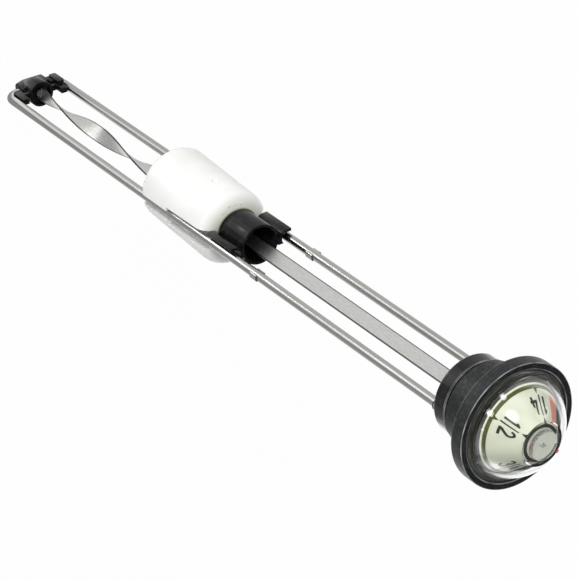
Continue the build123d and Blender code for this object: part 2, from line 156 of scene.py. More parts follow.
# Studio: pale floor and white surroundings for the eye, and soft lamps round the gauge.
# The glows and the cards on the floor are seen by gloss alone: they draw its highlights and streaks.
studio = {
    "floorColour": "#e9e9e7",
    "floorSize": 8.0,
    "floorGap": 0.2 * mm,
    "whiteShare": 0.97,  # how much of the seen floor is plain white; the rest keeps the shadow
    "worldLight": 0.50,
    "worldShine": (0.14, 1.9),  # what a gloss surface sees of the room: overhead, and near the horizon
    "horizon": (0.01, 0.13),  # the sine of the heights between which that brightness falls
    "worldColour": "#f4f6f8",
    "head": (0.0, 0.0, 10 * mm),
    "boxes": (  # name, direction from the head, distance, width, height, watts
        ("sideBox", (-0.78, 0.61, 0.12), 0.90, 0.15, 0.20, 2.0),
        ("windowBox", (-0.215, 0.972, 0.094), 0.90, 0.13, 0.20, 1.6),
        ("slitBox", (-0.996, 0.059, 0.066), 0.90, 0.05, 0.10, 0.3),
        ("cameraBox", (-0.36, 0.67, 0.65), 1.10, 0.22, 0.22, 3.4),
        ("farBox", (0.70, 0.35, 0.62), 1.20, 0.60, 0.60, 2.0),
    ),
    "glows": (  # name, direction from the head, distance, radius, brightness in the middle
        ("sideGlow", (-0.78, 0.61, 0.12), 0.95, 0.16, 14.0),
        ("windowGlow", (-0.215, 0.972, 0.094), 0.95, 0.14, 12.0),
        ("cameraGlow", (-0.36, 0.67, 0.65), 1.15, 0.34, 16.0),
        ("wallGlow", (-0.34, -0.93, 0.06), 0.95, 0.42, 8.0),
    ),
    "cards": (  # name, the angles and the distances from the axis between which it lies, brightness
        ("stripCard", 118, 142, 0.0, 0.9, 1.25),
        ("paleCard", 0, 96, 0.0, 0.9, 0.66),
        ("greyCard", 150, 216, 0.0, 0.9, 0.40),
        ("shadeCard", 216, 252, 0.0, 0.9, 0.52),
        ("tubeLamp", 116, 132, 0.122, 0.158, 8.0),
        ("collarLamp", 118, 131, 0.245, 0.290, 3.6),
        ("lensCard", 268, 345, 0.300, 0.9, 1.5),
    ),
    "cardGap": 0.02 * mm,  # each card lies this far above the one before it
    "cardStart": 2 * mm,  # no card comes nearer the axis
}


def floorHeight():
    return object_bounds()[0].z - studio["floorGap"]


def makeFloor():
    bpy.ops.mesh.primitive_plane_add(size=studio["floorSize"], location=(0, 0, floorHeight()))
    floor = bpy.context.object
    floor.name = "floor"
    paper, shader = newMaterial("studioPaper", Base_Color=linear(studio["floorColour"]), Roughness=0.9)
    path = addNode(paper, "ShaderNodeLightPath")
    direct = addNode(
        paper, "ShaderNodeMath", links={0: path.outputs["Is Camera Ray"], 1: path.outputs["Is Glossy Ray"]},
        operation="ADD",
    )
    seen = addNode(
        paper, "ShaderNodeMath", links={0: direct.outputs[0], 1: path.outputs["Is Transmission Ray"]},
        operation="ADD",
    )
    share = addNode(
        paper, "ShaderNodeMath", {1: studio["whiteShare"]}, {0: seen.outputs[0]},
        operation="MULTIPLY", use_clamp=True,
    )
    white = addNode(paper, "ShaderNodeEmission", {"Color": (1, 1, 1, 1), "Strength": 1.0})
    mix = addNode(
        paper, "ShaderNodeMixShader", links={0: share.outputs[0], 1: shader.outputs[0], 2: white.outputs[0]},
    )
    useAsSurface(paper, mix)
    finish(floor, paper)
    floor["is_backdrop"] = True


def makeWorld():
    world = bpy.data.worlds.new("studioAir")
    bpy.context.scene.world = world
    world.use_nodes = True
    colour = linear(studio["worldColour"])
    low, high = studio["horizon"]
    overhead, level = studio["worldShine"]
    light = world.node_tree.nodes["Background"]
    light.inputs["Color"].default_value = colour
    light.inputs["Strength"].default_value = studio["worldLight"]
    direction = addNode(world, "ShaderNodeTexCoord")
    parts = addNode(world, "ShaderNodeSeparateXYZ", links={0: direction.outputs["Generated"]})
    fall = addNode(
        world, "ShaderNodeMapRange", {"From Min": low, "From Max": high, "To Min": level, "To Max": overhead},
        {"Value": parts.outputs["Z"]}, interpolation_type="SMOOTHSTEP",
    )
    shine = addNode(world, "ShaderNodeBackground", {"Color": colour}, {"Strength": fall.outputs["Result"]})
    white = addNode(world, "ShaderNodeBackground", {"Color": (1, 1, 1, 1), "Strength": 1.0})
    path = addNode(world, "ShaderNodeLightPath")
    unseen = addNode(
        world, "ShaderNodeMixShader",
        links={0: path.outputs["Is Glossy Ray"], 1: light.outputs[0], 2: shine.outputs[0]},
    )
    mix = addNode(
        world, "ShaderNodeMixShader",
        links={0: path.outputs["Is Camera Ray"], 1: unseen.outputs[0], 2: white.outputs[0]},
    )
    link(world, mix.outputs[0], world.node_tree.nodes["World Output"].inputs["Surface"])


def makeBoxes():
    aim = Vector(studio["head"])
    for name, direction, distance, width, height, watts in studio["boxes"]:
        away = Vector(direction).normalized()
        bpy.ops.object.light_add(type="AREA", location=aim + away * distance)
        box = bpy.context.object
        box.name = name
        box.rotation_euler = away.to_track_quat("Z", "Y").to_euler()
        box.data.shape = "RECTANGLE"
        box.data.size = width
        box.data.size_y = height
        box.data.energy = watts
        box.visible_camera = False
        box.visible_glossy = False  # the gloss sees the glows instead


def onlyForGloss(lamp):
    lamp.visible_camera = False
    lamp.visible_diffuse = False
    lamp.visible_transmission = False
    lamp.visible_shadow = False
    lamp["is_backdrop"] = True


def makeGlows():
    aim = Vector(studio["head"])
    for name, direction, distance, radius, brightness in studio["glows"]:
        away = Vector(direction).normalized()
        bpy.ops.mesh.primitive_circle_add(radius=radius, fill_type="NGON", location=aim + away * distance)
        glow = bpy.context.object
        glow.name = name
        glow.rotation_euler = away.to_track_quat("Z", "Y").to_euler()
        soft = newMaterial(name + "Light")[0]
        place = addNode(soft, "ShaderNodeTexCoord").outputs["Object"]
        sized = addNode(soft, "ShaderNodeMapping", {"Scale": (1 / radius,) * 3}, {"Vector": place})
        fall = addNode(
            soft, "ShaderNodeTexGradient", links={"Vector": sized.outputs[0]},
            gradient_type="QUADRATIC_SPHERE",
        )
        strength = addNode(
            soft, "ShaderNodeMath", {1: brightness}, {0: fall.outputs["Fac"]}, operation="MULTIPLY",
        )
        light = addNode(soft, "ShaderNodeEmission", links={"Strength": strength.outputs[0]})
        useAsSurface(soft, light)
        finish(glow, soft)
        onlyForGloss(glow)


def makeCards():
    ground = floorHeight()
    for i, (name, start, end, near, far, brightness) in enumerate(studio["cards"]):
        bpy.ops.mesh.primitive_plane_add()
        card = bpy.context.object
        card.name = name
        height = ground + (i + 1) * studio["cardGap"]
        near = max(near, studio["cardStart"])
        corners = ((start, near), (end, near), (start, far), (end, far))
        for vertex, (angle, reach) in zip(card.data.vertices, corners):
            turn = math.radians(angle)
            vertex.co = (reach * math.cos(turn), reach * math.sin(turn), height)
        even = newMaterial(name + "Glow")[0]
        light = addNode(even, "ShaderNodeEmission", {"Strength": brightness})
        useAsSurface(even, light)
        finish(card, even)
        onlyForGloss(card)


makeFloor()
makeWorld()
makeBoxes()
makeGlows()
makeCards()
bpy.context.scene.view_settings.view_transform = "Standard"
print("studio lit")


# Where on the gauge the finishes change; a line round the axis has a radius, a height and a width
finishPlaces = {
    # painted highlights: pale lines along the flange's lower and upper edges and along the lip
    "flangeHighlights": (
        (20.6 * mm, 0, 0.22 * mm), (20.55 * mm, 4.75 * mm, 0.26 * mm), (18.5 * mm, 4.75 * mm, 0.26 * mm),
    ),
    "collarHighlights": (
        (13.55 * mm, -12.4 * mm, 0.24 * mm), (13.3 * mm, -13.2 * mm, 0.2 * mm),
        (12.9 * mm, -18.3 * mm, 0.3 * mm),
    ),
    "gapShade": (7.1 * mm, -142.9 * mm, 0.8 * mm),  # painted shade in the gap where the tube enters the float
    "gapShadeMiddle": 0.9 * mm,  # in Y
    "paintedShadeEnd": (-145.5 * mm, -142.8 * mm),  # the heights between which painted shade greys the float's upper end
    "paintedReflectionHeight": 0.8 * mm,  # above this height, under the lens, the turned face is painted paler and greyer: a painted reflection
    "frostedNub": (17.4 * mm, 17.5 * mm),  # the heights between which the lens's nub turns hazy
    "darkerEdge": (2.38 * mm, 2.5 * mm),  # the distances from the axis between which the strip darkens
}
waveLength = math.pi / 10  # the distance at which a wave texture of scale 1 repeats


def axisDistance(material, parts):
    flat = addNode(material, "ShaderNodeCombineXYZ", links={0: parts.outputs["X"], 1: parts.outputs["Y"]})
    reach = addNode(material, "ShaderNodeVectorMath", links={0: flat.outputs[0]}, operation="LENGTH")
    return reach.outputs["Value"]


def edgeLine(material, place, radius, height, width):
    # 1 on a ring about Z, fading to 0 at the given width from it
    parts = addNode(material, "ShaderNodeSeparateXYZ", links={0: place})
    section = addNode(
        material, "ShaderNodeCombineXYZ", links={0: axisDistance(material, parts), 2: parts.outputs["Z"]},
    )
    away = addNode(
        material, "ShaderNodeVectorMath", {1: (radius, 0, height)}, {0: section.outputs[0]},
        operation="DISTANCE",
    )
    line = addNode(
        material, "ShaderNodeMapRange",
        {"From Min": width / 2, "From Max": width, "To Min": 1.0, "To Max": 0.0},
        {"Value": away.outputs["Value"]},
    )
    return line.outputs["Result"]


def paintedEdgeHighlights(material, place, rings):
    # painted highlights along the moulded edges: all the rings together, broken along their length
    total = edgeLine(material, place, *rings[0])
    for ring in rings[1:]:
        both = addNode(
            material, "ShaderNodeMath", links={0: total, 1: edgeLine(material, place, *ring)},
            operation="MAXIMUM",
        )
        total = both.outputs[0]
    patches = addNode(
        material, "ShaderNodeTexNoise", {"Scale": 1 / (4 * mm), "Detail": 4.0}, {"Vector": place},
    )
    share = addNode(
        material, "ShaderNodeMapRange",
        {"From Min": 0.35, "From Max": 0.65, "To Min": 0.25, "To Max": 1.0},
        {"Value": patches.outputs["Fac"]},
    )
    line = addNode(
        material, "ShaderNodeMath", links={0: total, 1: share.outputs["Result"]}, operation="MULTIPLY",
    )
    return line.outputs[0]


# Finishes
def nitrileRubber():
    # compression-moulded nitrile: near black, a dull sheen, dusty and speckled, with pale painted highlights
    # along its edges; the grain is coarser than the real one, so that it shows
    rubber, shader = newMaterial("nitrileRubber", IOR=1.52, Specular_IOR_Level=0.36)
    place = addNode(rubber, "ShaderNodeTexCoord").outputs["Object"]
    bloom = addNode(
        rubber, "ShaderNodeTexNoise", {"Scale": 1 / (9 * mm), "Detail": 5.0, "Roughness": 0.6},
        {"Vector": place},
    )
    colour = addNode(
        rubber, "ShaderNodeValToRGB", links={"Fac": bloom.outputs["Fac"]},
        stops=((0.35, "#0f1011"), (0.75, "#1c1d1e")),
    )
    speckle = addNode(
        rubber, "ShaderNodeTexNoise", {"Scale": 1 / (1.1 * mm), "Detail": 8.0, "Roughness": 0.7},
        {"Vector": place},
    )
    dust = addNode(
        rubber, "ShaderNodeMapRange", {"From Min": 0.48, "From Max": 0.72, "To Max": 0.5},
        {"Value": speckle.outputs["Fac"]},
    )
    dusty = addNode(
        rubber, "ShaderNodeMix", {7: linear("#515456")},
        {0: dust.outputs["Result"], 6: colour.outputs["Color"]}, data_type="RGBA",
    )
    # painted highlights along the flange's edges and the lip, in pale grey
    edgeHighlight = paintedEdgeHighlights(rubber, place, finishPlaces["flangeHighlights"])
    edged = addNode(
        rubber, "ShaderNodeMix", {7: linear("#a9acab")}, {0: edgeHighlight, 6: dusty.outputs[2]}, data_type="RGBA",
    )
    link(rubber, edged.outputs[2], shader.inputs["Base Color"])
    gloss = addNode(
        rubber, "ShaderNodeMapRange", {"To Min": 0.3, "To Max": 0.5}, {"Value": bloom.outputs["Fac"]},
    )
    link(rubber, gloss.outputs["Result"], shader.inputs["Roughness"])
    grain = addNode(
        rubber, "ShaderNodeTexNoise", {"Scale": 1 / (0.55 * mm), "Detail": 4.0}, {"Vector": place},
    )
    bump = addNode(
        rubber, "ShaderNodeBump", {"Strength": 0.7, "Distance": 0.2 * mm}, {"Height": grain.outputs["Fac"]},
    )
    link(rubber, bump.outputs["Normal"], shader.inputs["Normal"])
    return rubber


def mouldedAcetal():
    # injection-moulded acetal: deep black, a soft gloss with faint flow marks
    acetal, shader = newMaterial("mouldedAcetal", IOR=1.5, Specular_IOR_Level=0.36)
    place = addNode(acetal, "ShaderNodeTexCoord").outputs["Object"]
    flow = addNode(acetal, "ShaderNodeTexNoise", {"Scale": 1 / (3 * mm), "Detail": 6.0}, {"Vector": place})
    colour = addNode(
        acetal, "ShaderNodeValToRGB", links={"Fac": flow.outputs["Fac"]},
        stops=((0.45, "#0c0d0e"), (0.8, "#25272a")),
    )
    link(acetal, colour.outputs["Color"], shader.inputs["Base Color"])
    gloss = addNode(
        acetal, "ShaderNodeMapRange", {"To Min": 0.05, "To Max": 0.15}, {"Value": flow.outputs["Fac"]},
    )
    link(acetal, gloss.outputs["Result"], shader.inputs["Roughness"])
    grain = addNode(
        acetal, "ShaderNodeTexNoise", {"Scale": 1 / (0.3 * mm), "Detail": 2.0}, {"Vector": place},
    )
    bump = addNode(
        acetal, "ShaderNodeBump", {"Strength": 0.12, "Distance": 0.06 * mm},
        {"Height": grain.outputs["Fac"]},
    )
    link(acetal, bump.outputs["Normal"], shader.inputs["Normal"])
    return acetal


def headMoulding():
    # the same acetal, with painted highlights along the collar's edges; the turned face that the lens covers
    # is painted paler and greyer, a painted reflection, and its lathe rings, coarser than the real ones
    # so that they show, stand out there as bright painted ring lines
    head = mouldedAcetal()
    head.name = "headMoulding"
    shader = head.node_tree.nodes["Principled BSDF"]
    bare = shader.inputs["Base Color"].links[0].from_socket
    place = addNode(head, "ShaderNodeTexCoord").outputs["Object"]
    # painted highlights: pale lines along the collar's edges
    edgeHighlight = paintedEdgeHighlights(head, place, finishPlaces["collarHighlights"])
    edged = addNode(
        head, "ShaderNodeMix", {7: linear("#a3a6a6")}, {0: edgeHighlight, 6: bare}, data_type="RGBA",
    )
    # painted reflection: above this height the face under the lens is paler and greyer, with bright ring
    # lines
    parts = addNode(head, "ShaderNodeSeparateXYZ", links={0: place})
    inside = addNode(
        head, "ShaderNodeMath", {1: finishPlaces["paintedReflectionHeight"]}, {0: parts.outputs["Z"]},
        operation="GREATER_THAN",
    )
    rings = addNode(
        head, "ShaderNodeTexWave",
        {"Scale": waveLength / (0.4084 * mm), "Distortion": 0.4, "Detail": 2.0},
        {"Vector": place}, wave_type="RINGS", rings_direction="Z",
    )
    turned = addNode(
        head, "ShaderNodeValToRGB", links={"Fac": rings.outputs["Fac"]},
        stops=((0.55, "#34352e"), (0.95, "#6a6b62")),
    )
    colour = addNode(
        head, "ShaderNodeMix",
        links={0: inside.outputs[0], 6: edged.outputs[2], 7: turned.outputs["Color"]}, data_type="RGBA",
    )
    link(head, colour.outputs[2], shader.inputs["Base Color"])
    return head


def clearPolycarbonate():
    # moulded polycarbonate: clear and slightly hazy, its nub a little frosted; lamps shine through it,
    # so the dial under it stays bright
    clear, shader = newMaterial(
        "clearPolycarbonate", Base_Color=linear("#fbfcfa"), Roughness=0.03, IOR=1.585,
        Sheen_Weight=0.42, Sheen_Roughness=0.3,
    )
    place = addNode(clear, "ShaderNodeTexCoord").outputs["Object"]
    parts = addNode(clear, "ShaderNodeSeparateXYZ", links={0: place})
    cloud = addNode(
        clear, "ShaderNodeTexNoise", {"Scale": 1 / (0.45 * mm), "Detail": 3.0}, {"Vector": place},
    )
    low, high = finishPlaces["frostedNub"]
    frost = addNode(
        clear, "ShaderNodeMapRange", {"From Min": low, "From Max": high, "To Min": 1.0, "To Max": 0.76},
        {"Value": parts.outputs["Z"]},
    )
    mottled = addNode(
        clear, "ShaderNodeMapRange",
        {"From Min": 0.3, "From Max": 0.7, "To Min": 0.97, "To Max": 1.08},
        {"Value": cloud.outputs["Fac"]},
    )
    clearness = addNode(
        clear, "ShaderNodeMath", links={0: frost.outputs["Result"], 1: mottled.outputs["Result"]},
        operation="MULTIPLY", use_clamp=True,
    )
    keep = addNode(
        clear, "ShaderNodeMath", links={0: clearness.outputs[0], 1: frost.outputs["Result"]},
        operation="MAXIMUM",
    )
    link(clear, keep.outputs[0], shader.inputs["Transmission Weight"])
    path = addNode(clear, "ShaderNodeLightPath")
    through = addNode(clear, "ShaderNodeBsdfTransparent", {"Color": linear("#f4f5f2")})
    mix = addNode(
        clear, "ShaderNodeMixShader",
        links={0: path.outputs["Is Shadow Ray"], 1: shader.outputs[0], 2: through.outputs[0]},
    )
    useAsSurface(clear, mix)
    return clear


def printInk(name, dark, light):
    # screen-printed ink or line paint: a thin satin film, slightly uneven in tone
    ink, shader = newMaterial(name, Roughness=0.45)
    place = addNode(ink, "ShaderNodeTexCoord").outputs["Object"]
    tone = addNode(ink, "ShaderNodeTexNoise", {"Scale": 1 / (1.2 * mm), "Detail": 4.0}, {"Vector": place})
    colour = addNode(
        ink, "ShaderNodeValToRGB", links={"Fac": tone.outputs["Fac"]}, stops=((0.35, dark), (0.7, light)),
    )
    link(ink, colour.outputs["Color"], shader.inputs["Base Color"])
    return ink


def creamStyrene():
    # moulded styrene dial: pale cream with a green cast and a faint mottle
    cream, shader = newMaterial("creamStyrene", Roughness=0.42, IOR=1.5)
    place = addNode(cream, "ShaderNodeTexCoord").outputs["Object"]
    mottle = addNode(cream, "ShaderNodeTexNoise", {"Scale": 1 / (7 * mm), "Detail": 3.0}, {"Vector": place})
    colour = addNode(
        cream, "ShaderNodeValToRGB", links={"Fac": mottle.outputs["Fac"]},
        stops=((0.3, "#cdd0bb"), (0.75, "#dcded2")),
    )
    link(cream, colour.outputs["Color"], shader.inputs["Base Color"])
    return cream


def drawnStainless():
    # cold-drawn stainless wire: bright, with draw lines along its length, coarser than the real ones
    # so that they show
    steel, shader = newMaterial("drawnStainless", Metallic=1.0)
    place = addNode(steel, "ShaderNodeTexCoord").outputs["Object"]
    stretched = addNode(
        steel, "ShaderNodeMapping", {"Scale": (1 / (0.4 * mm), 1 / (0.4 * mm), 1 / (60 * mm))},
        {"Vector": place},
    )
    lines = addNode(
        steel, "ShaderNodeTexNoise", {"Scale": 1.0, "Detail": 4.0}, {"Vector": stretched.outputs[0]},
    )
    colour = addNode(
        steel, "ShaderNodeValToRGB", links={"Fac": lines.outputs["Fac"]},
        stops=((0.3, "#b5b5b2"), (0.7, "#d0d0cd")),
    )
    link(steel, colour.outputs["Color"], shader.inputs["Base Color"])
    gloss = addNode(
        steel, "ShaderNodeMapRange", {"To Min": 0.19, "To Max": 0.27}, {"Value": lines.outputs["Fac"]},
    )
    link(steel, gloss.outputs["Result"], shader.inputs["Roughness"])
    return steel


def rolledStainless():
    # cold-rolled stainless strip: a bright brushed face, darker towards its edges; the grain is coarser
    # than the real one, so that it shows
    steel, shader = newMaterial("rolledStainless", Metallic=1.0)
    place = addNode(steel, "ShaderNodeTexCoord").outputs["Object"]
    stretched = addNode(
        steel, "ShaderNodeMapping", {"Scale": (1 / (0.3 * mm), 1 / (0.3 * mm), 1 / (1.6 * mm))},
        {"Vector": place},
    )
    lines = addNode(
        steel, "ShaderNodeTexNoise", {"Scale": 1.0, "Detail": 5.0}, {"Vector": stretched.outputs[0]},
    )
    colour = addNode(
        steel, "ShaderNodeValToRGB", links={"Fac": lines.outputs["Fac"]},
        stops=((0.3, "#dcdbd8"), (0.7, "#efefec")),
    )
    # the face is painted darker towards its edges
    parts = addNode(steel, "ShaderNodeSeparateXYZ", links={0: place})
    bright, dark = finishPlaces["darkerEdge"]
    rolled = addNode(
        steel, "ShaderNodeMapRange", {"From Min": bright, "From Max": dark},
        {"Value": axisDistance(steel, parts)},
    )
    edged = addNode(
        steel, "ShaderNodeMix", {7: linear("#5b5a57")},
        {0: rolled.outputs["Result"], 6: colour.outputs["Color"]}, data_type="RGBA",
    )
    link(steel, edged.outputs[2], shader.inputs["Base Color"])
    gloss = addNode(
        steel, "ShaderNodeMapRange", {"To Min": 0.28, "To Max": 0.42}, {"Value": lines.outputs["Fac"]},
    )
    link(steel, gloss.outputs["Result"], shader.inputs["Roughness"])
    bump = addNode(
        steel, "ShaderNodeBump", {"Strength": 0.15, "Distance": 0.01 * mm}, {"Height": lines.outputs["Fac"]},
    )
    link(steel, bump.outputs["Normal"], shader.inputs["Normal"])
    return steel


def turnedMetal(name, hexColour, roughness, ringSpacing):
    # turned brass or stainless: plain metal with fine lathe rings round the axis
    metal, shader = newMaterial(name, Base_Color=linear(hexColour), Metallic=1.0, Roughness=roughness)
    place = addNode(metal, "ShaderNodeTexCoord").outputs["Object"]
    rings = addNode(
        metal, "ShaderNodeTexWave", {"Scale": waveLength / ringSpacing, "Distortion": 0.3},
        {"Vector": place}, bands_direction="Z",
    )
    bump = addNode(
        metal, "ShaderNodeBump", {"Strength": 0.2, "Distance": 0.01 * mm}, {"Height": rings.outputs["Fac"]},
    )
    link(metal, bump.outputs["Normal"], shader.inputs["Normal"])
    return metal


def whiteNylon():
    # machined nylon: milky white, satin
    nylon, shader = newMaterial(
        "whiteNylon", Base_Color=linear("#ece9df"), Roughness=0.5, Subsurface_Weight=0.1,
    )
    place = addNode(nylon, "ShaderNodeTexCoord").outputs["Object"]
    grain = addNode(nylon, "ShaderNodeTexNoise", {"Scale": 1 / (0.4 * mm)}, {"Vector": place})
    bump = addNode(
        nylon, "ShaderNodeBump", {"Strength": 0.2, "Distance": 0.01 * mm}, {"Height": grain.outputs["Fac"]},
    )
    link(nylon, bump.outputs["Normal"], shader.inputs["Normal"])
    return nylon


def mouldedPolyethylene():
    # blow-moulded polyethylene: white, waxy, with soft sink marks and a fine orange peel; painted shade greys
    # its upper end toward the tube, and a dark olive line of painted shade lies where the tube goes in
    white, shader = newMaterial("mouldedPolyethylene", Roughness=0.42, IOR=1.51)
    place = addNode(white, "ShaderNodeTexCoord").outputs["Object"]
    cloud = addNode(white, "ShaderNodeTexNoise", {"Scale": 1 / (12 * mm), "Detail": 3.0}, {"Vector": place})
    colour = addNode(
        white, "ShaderNodeValToRGB", links={"Fac": cloud.outputs["Fac"]},
        stops=((0.3, "#eeeeea"), (0.7, "#f6f6f3")),
    )
    parts = addNode(white, "ShaderNodeSeparateXYZ", links={0: place})
    # painted shade: the upper end greys toward the tube
    low, high = finishPlaces["paintedShadeEnd"]
    upper = addNode(
        white, "ShaderNodeMapRange", {"From Min": low, "From Max": high}, {"Value": parts.outputs["Z"]},
    )
    shaded = addNode(
        white, "ShaderNodeMix", {7: linear("#dcddd3")},
        {0: upper.outputs["Result"], 6: colour.outputs["Color"]}, data_type="RGBA",
    )
    # painted shade: a dark olive line round the gap where the tube goes in
    centred = addNode(
        white, "ShaderNodeMapping", {"Location": (0, -finishPlaces["gapShadeMiddle"], 0)}, {"Vector": place},
    )
    gapShade = edgeLine(white, centred.outputs[0], *finishPlaces["gapShade"])
    gapShaded = addNode(
        white, "ShaderNodeMix", {7: linear("#6e6838")}, {0: gapShade, 6: shaded.outputs[2]}, data_type="RGBA",
    )
    link(white, gapShaded.outputs[2], shader.inputs["Base Color"])
    peel = addNode(white, "ShaderNodeTexNoise", {"Scale": 1 / (1.5 * mm), "Detail": 3.0}, {"Vector": place})
    bump = addNode(
        white, "ShaderNodeBump", {"Strength": 0.25, "Distance": 0.05 * mm}, {"Height": peel.outputs["Fac"]},
    )
    link(white, bump.outputs["Normal"], shader.inputs["Normal"])
    return white


acetal = mouldedAcetal()
turnedSteel = turnedMetal("turnedSteel", "#b9b7b0", 0.34, 0.1571 * mm)
turnedBrass = turnedMetal("turnedBrass", "#d8b765", 0.3, 0.1885 * mm)
finishes = {  # node, its material and its slot
    "grommet": (nitrileRubber(), "rubber"),
    "head_body": (headMoulding(), "head_plastic"),
    "lens": (clearPolycarbonate(), "lens_clear"),
    "index_line": (printInk("redPaint", "#c8323a", "#d4434a"), "index_red"),
    "dial": (creamStyrene(), "dial_cream"),
    "dial_band": (printInk("bandInk", "#3d3f0c", "#55581a"), "band_ink"),
    "dial_track": (printInk("dialInk", "#110f05", "#241f0c"), "track_ink"),
    "reserve_wedge": (printInk("wedgeInk", "#d8806f", "#e08d7b"), "reserve_red"),
    "dial_arbor": (turnedSteel, "arbor_steel"),
    "arbor_bush": (turnedBrass, "bush_brass"),
    "thrust_washer": (whiteNylon(), "washer_white"),
    "guide_wire": (drawnStainless(), "wire_steel"),
    "twisted_strip": (rolledStainless(), "strip_metal"),
    "foot_pin": (turnedSteel, "foot_steel"),
    "float": (mouldedPolyethylene(), "float_white"),
    "float_carrier": (acetal, "carrier_black"),
    "bottom_bearing": (acetal, "bearing_black"),
}
for nodeName in finishes:
    finish(nodes[nodeName], finishes[nodeName][0])  # the frame's own pieces already have their slots
print("frame pieces finished")


# Black mouldings: the same forms with their sharp edges broken, so that each edge catches the light
softEdges = {
    "pieces": (  # node, body, width of the broken edge
        ("head_body", "head", 0.16 * mm),
        ("float_carrier", "float_unit", 0.18 * mm),
        ("bottom_bearing", "head", 0.2 * mm),
    ),
    "segments": 2,
    "merge": 0.001 * mm,  # corners nearer to each other than this become one
    "flat": 0.5,  # degrees: faces that differ by less become one
    "sharp": 35,  # degrees: only an edge that turns further is broken
    "shadeLimit": 40,  # degrees: an edge that turns further stays crisp in the shading
}


def softenEdges():
    for nodeName, body, width in softEdges["pieces"]:
        onlyThis(nodes[nodeName])
        bpy.ops.object.duplicate()
        piece = bpy.context.object
        piece.name = nodeName + "_moulded"
        bpy.ops.object.mode_set(mode="EDIT")
        bpy.ops.mesh.select_all(action="SELECT")
        bpy.ops.mesh.remove_doubles(threshold=softEdges["merge"])
        bpy.ops.mesh.dissolve_limited(angle_limit=math.radians(softEdges["flat"]))
        bpy.ops.object.mode_set(mode="OBJECT")
        bpy.ops.object.modifier_add(type="BEVEL")
        bevel = piece.modifiers[-1]
        bevel.width = width
        bevel.segments = softEdges["segments"]
        bevel.limit_method = "ANGLE"
        bevel.angle_limit = math.radians(softEdges["sharp"])
        bpy.ops.object.modifier_apply(modifier=bevel.name)
        bpy.ops.object.shade_smooth_by_angle(angle=math.radians(softEdges["shadeLimit"]))
        finish(piece, *finishes[nodeName])
        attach(piece, body)
        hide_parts(nodeName)


softenEdges()
print("edges softened")


# Turned pieces: one outline, spun round the axis
turning = {
    "cornerSteps": 4,
    "merge": 0.002 * mm,  # corners nearer to each other than this become one
    "shadeLimit": 28,  # degrees: an edge that turns further stays crisp in the shading
}


def rounded(points):
    # each point is radius, height and how far its corner is cut back, all in mm
    line = []
    for i, (x, z, cut) in enumerate(points):
        corner = Vector((x, z))
        if cut == 0:
            line.append(corner)
            continue
        before = Vector(points[i - 1][:2]) - corner
        after = Vector(points[i + 1][:2]) - corner
        start, end = corner + before.normalized() * cut, corner + after.normalized() * cut
        for step in range(turning["cornerSteps"] + 1):
            t = step / turning["cornerSteps"]
            line.append(start * (1 - t) ** 2 + corner * 2 * t * (1 - t) + end * t ** 2)
    return line


def arcThrough(start, middle, end, count):
    # the points between the ends of an arc that passes through the three given
    a, b, c = Vector(start), Vector(middle), Vector(end)
    ab, bc = (a + b) / 2, (b + c) / 2
    alongAb, alongBc = (b - a).orthogonal(), (c - b).orthogonal()
    cross = alongAb.x * alongBc.y - alongAb.y * alongBc.x
    reach = ((bc.x - ab.x) * alongBc.y - (bc.y - ab.y) * alongBc.x) / cross
    centre = ab + alongAb * reach
    radius = (a - centre).length
    first = math.atan2(a.y - centre.y, a.x - centre.x)
    last = math.atan2(c.y - centre.y, c.x - centre.x)
    turns = [first + (last - first) * i / count for i in range(1, count)]
    return [(centre.x + radius * math.cos(turn), centre.y + radius * math.sin(turn), 0) for turn in turns]


def spun(name, points, steps, closed=True):
    # an outline that isn't closed begins and ends on the axis
    line = rounded(points)
    deselectAll()
    bpy.ops.mesh.primitive_circle_add(vertices=len(line), fill_type="NOTHING")
    piece = bpy.context.object
    piece.name = name
    piece.data.name = name
    for vertex, point in zip(piece.data.vertices, line):
        vertex.co = (point.x * mm, 0, point.y * mm)
    bpy.ops.object.mode_set(mode="EDIT")
    if not closed:
        bpy.ops.mesh.select_all(action="DESELECT")
        bpy.ops.object.mode_set(mode="OBJECT")
        last = len(line) - 1
        for edge in piece.data.edges:
            edge.select = set(edge.vertices) == {0, last}
        bpy.ops.object.mode_set(mode="EDIT")
        bpy.ops.mesh.select_mode(type="EDGE")
        bpy.ops.mesh.delete(type="EDGE")
        bpy.ops.mesh.select_mode(type="VERT")
    bpy.ops.mesh.select_all(action="SELECT")
    bpy.ops.mesh.spin(steps=steps, angle=2 * math.pi, center=(0, 0, 0), axis=(0, 0, 1))
    bpy.ops.mesh.select_all(action="SELECT")
    bpy.ops.mesh.remove_doubles(threshold=turning["merge"])
    bpy.ops.mesh.normals_make_consistent(inside=False)
    bpy.ops.object.mode_set(mode="OBJECT")
    bpy.ops.object.shade_smooth_by_angle(angle=math.radians(turning["shadeLimit"]))
    return piece


# Lens: a finer turning of the same moulding, so that the lamps draw clean shapes in it
lens = {  # radii and heights in mm; an arc is given by three of its points
    "edge": (19.5, 2.9, 4.1),  # radius, underside, top of the flat rim
    "bead": (17.45, 4.5),  # radius, top
    "ledge": (16.8, 5.8),  # radius, top
    "dome": ((16.4, 5.8), (12.6, 11.9), (7.2, 16.3)),
    "inside": ((6.7, 15.3), (11.893, 11.193), (15.4, 5.55)),
    "nub": (4.83, 4.68, 17.57),  # radius at its foot and at its face, height of the face
    "tipHole": (0.7, 16.4, 15.3),  # radius, top, bottom
    "arcSteps": 48,
    "steps": 224,  # round the axis
}


